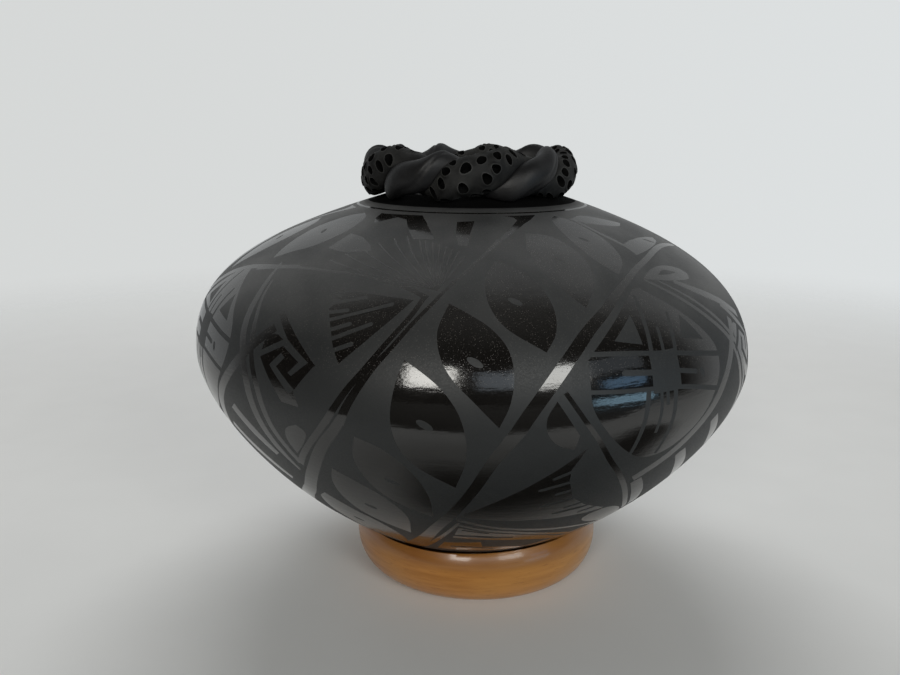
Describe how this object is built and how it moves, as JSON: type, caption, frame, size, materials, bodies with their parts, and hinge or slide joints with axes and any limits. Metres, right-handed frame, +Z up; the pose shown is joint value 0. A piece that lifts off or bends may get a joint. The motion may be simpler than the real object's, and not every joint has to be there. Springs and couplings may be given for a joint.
{
  "type": "black clay jar on a ring stand",
  "caption": "Round-bottomed burnished black clay jar with matte slip-painted panels and a twisted collar, lifting off a turned wooden ring.",
  "frame": {"origin": "on the table under the middle of the jar", "axes": "+Z up along the jar's axis, front towards -Y"},
  "size_m": [0.152, 0.152, 0.1207],
  "materials": {
    "black_clay": "burnished black clay with a matte black painted slip design",
    "collar_clay": "satin hand-smoothed black clay",
    "pierced_clay": "matte black clay pierced with small holes",
    "lacquered_wood": "glossy amber lacquer over turned wood"
  },
  "bodies": {
    "ring": {"ring_stand": "lacquered_wood"},
    "pot": {"vessel": "black_clay", "smooth_strand": "collar_clay", "pierced_strand": "pierced_clay"}
  },
  "joints": [
    {"name": "pot_lift", "type": "slide", "parent": "ring", "child": "pot", "axis": [0, 0, 1], "range_m": [0, 0.06]}
  ]
}
